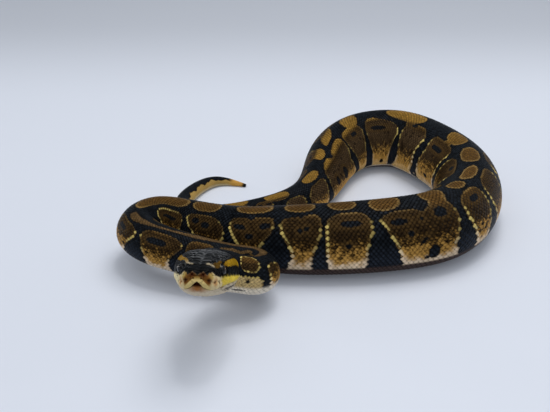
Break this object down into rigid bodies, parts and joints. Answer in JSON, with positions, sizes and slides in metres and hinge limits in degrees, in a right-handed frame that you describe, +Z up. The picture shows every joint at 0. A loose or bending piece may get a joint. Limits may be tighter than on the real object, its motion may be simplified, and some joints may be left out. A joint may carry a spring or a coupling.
{
  "type": "coiled ball python",
  "caption": "Young ball python resting in a loose coil, its head raised and facing forward, with dark skin and golden-brown blotches.",
  "frame": {"origin": "on the floor, under the middle of the coil's bounding box", "axes": "+Z up; the head faces -Y, the open rear loop lies towards +Y, and the thick front run of the body goes from -X to +X"},
  "size_m": [0.2042, 0.2341, 0.0476],
  "materials": {
    "eye_left": "wet gloss",
    "eye_right": "wet gloss",
    "forebody_1": "glossy scaled skin",
    "forebody_2": "glossy scaled skin",
    "forebody_3": "glossy scaled skin",
    "forebody_4": "glossy scaled skin",
    "forebody_5": "glossy scaled skin",
    "forebody_6": "glossy scaled skin",
    "head": "glossy smooth plates",
    "lower_jaw": "satin scaled skin",
    "neck_1": "glossy scaled skin",
    "neck_2": "glossy scaled skin",
    "neck_3": "glossy scaled skin",
    "tail_1": "glossy scaled skin",
    "tail_2": "glossy scaled skin",
    "tail_3": "glossy scaled skin",
    "tail_4": "glossy scaled skin",
    "trunk_01": "glossy scaled skin",
    "trunk_02": "glossy scaled skin",
    "trunk_03": "glossy scaled skin",
    "trunk_04": "glossy scaled skin",
    "trunk_05": "glossy scaled skin",
    "trunk_06": "glossy scaled skin",
    "trunk_07": "glossy scaled skin",
    "trunk_08": "glossy scaled skin",
    "trunk_09": "glossy scaled skin",
    "trunk_10": "glossy scaled skin",
    "trunk_11": "glossy scaled skin",
    "trunk_12": "glossy scaled skin",
    "trunk_13": "glossy scaled skin",
    "trunk_14": "glossy scaled skin",
    "trunk_15": "glossy scaled skin"
  },
  "bodies": {
    "root": {"eye_left": "eye_left", "eye_right": "eye_right", "forebody_1": "forebody_1", "forebody_2": "forebody_2", "forebody_3": "forebody_3", "forebody_4": "forebody_4", "forebody_5": "forebody_5", "forebody_6": "forebody_6", "head": "head", "lower_jaw": "lower_jaw", "neck_1": "neck_1", "neck_2": "neck_2", "neck_3": "neck_3", "tail_1": "tail_1", "tail_2": "tail_2", "tail_3": "tail_3", "tail_4": "tail_4", "trunk_01": "trunk_01", "trunk_02": "trunk_02", "trunk_03": "trunk_03", "trunk_04": "trunk_04", "trunk_05": "trunk_05", "trunk_06": "trunk_06", "trunk_07": "trunk_07", "trunk_08": "trunk_08", "trunk_09": "trunk_09", "trunk_10": "trunk_10", "trunk_11": "trunk_11", "trunk_12": "trunk_12", "trunk_13": "trunk_13", "trunk_14": "trunk_14", "trunk_15": "trunk_15"}
  },
  "joints": []
}
